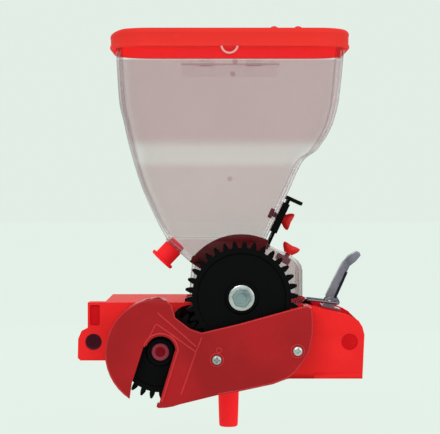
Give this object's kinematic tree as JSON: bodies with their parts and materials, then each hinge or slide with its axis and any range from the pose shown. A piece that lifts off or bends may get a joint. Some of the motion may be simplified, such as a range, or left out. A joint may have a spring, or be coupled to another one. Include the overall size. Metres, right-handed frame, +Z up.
{
  "type": "seed drill metering unit",
  "caption": "Seed drill metering unit: clear hopper with red hinged lid, clear metering chamber, two spur gears behind a red guard, and a red carrier frame with spout and draw latch",
  "frame": {"origin": "on the outer face of the rear side plate, below the metering shaft, on the line of the two fixing holes", "axes": "+X to the right and +Z up as the gear side is faced, +Y out of the rear mounting face"},
  "size_m": [0.2755, 0.157, 0.3936],
  "materials": {
    "frame_red": "satin",
    "lid_red": "gloss",
    "guard_red": "satin",
    "cover_red": "satin",
    "clear": "gloss",
    "black_nylon": "matte",
    "sleeve": "satin",
    "zinc": "satin",
    "steel": "satin",
    "bristle": "matte",
    "roller": "satin"
  },
  "bodies": {
    "unit": {"brush_knob": "lid_red", "chamber_hook": "black_nylon", "fixing_tube_left": "frame_red", "fixing_tube_right": "frame_red", "frame_bridge": "frame_red", "frame_corner_block": "frame_red", "frame_deck": "frame_red", "frame_floor": "frame_red", "frame_front_plate": "frame_red", "frame_rear_plate": "frame_red", "front_cover": "cover_red", "gate_guide": "black_nylon", "gate_stud": "black_nylon", "gate_wing_nut": "lid_red", "gear_guard": "guard_red", "guard_screw_left": "zinc", "guard_screw_right": "zinc", "hopper": "clear", "hopper_hinge_bracket": "clear", "latch_bracket": "steel", "latch_pin": "steel", "lid_hinge_pin": "zinc", "meter_brush": "bristle", "metering_chamber": "clear", "outlet_funnel": "frame_red", "rear_cover": "cover_red"},
    "rotor": {"driven_gear": "black_nylon", "meter_shaft": "zinc", "gear_washer": "zinc", "gear_bolt": "zinc", "metering_roller": "roller"},
    "pinion": {"drive_pinion": "black_nylon", "pinion_sleeve": "sleeve"},
    "lid": {"lid": "lid_red", "lid_catch": "clear", "lid_hinge_leaf": "lid_red"},
    "gate": {"seed_gate": "black_nylon"},
    "drain_cap": {"drain_cap": "lid_red"},
    "lever": {"latch_lever": "steel"},
    "bail": {"latch_bail": "steel"}
  },
  "joints": [
    {"name": "meter_spin", "type": "hinge", "parent": "unit", "child": "rotor", "pos_m": [0, -0.135, 0.0435], "axis": [0, 1, 0], "continuous": true},
    {"name": "pinion_spin", "type": "hinge", "parent": "unit", "child": "pinion", "pos_m": [-0.0773, -0.135, -0.00821], "axis": [0, 1, 0], "continuous": true},
    {"name": "lid_open", "type": "hinge", "parent": "unit", "child": "lid", "pos_m": [-0.01, -0.005, 0.276], "axis": [-1, 0, 0], "range_deg": [0, 100]},
    {"name": "gate_slide", "type": "slide", "parent": "unit", "child": "gate", "axis": [0.4198, 0, 0.9076], "range_m": [0, 0.022]},
    {"name": "drain_pull", "type": "slide", "parent": "unit", "child": "drain_cap", "axis": [-0.6906, 0, -0.7233], "range_m": [0, 0.03]},
    {"name": "latch_open", "type": "hinge", "parent": "unit", "child": "lever", "pos_m": [0.0872, -0.076, 0.0362], "axis": [0, -1, 0], "range_deg": [0, 45]},
    {"name": "bail_swing", "type": "hinge", "parent": "lever", "child": "bail", "pos_m": [0.0952, -0.076, 0.0349], "axis": [0, -1, 0], "range_deg": [-67.5, 0]}
  ],
  "couplings": [
    {"joint": "pinion_spin", "follows": "meter_spin", "ratio": -1.2143},
    {"joint": "bail_swing", "follows": "latch_open", "ratio": -1.5}
  ]
}
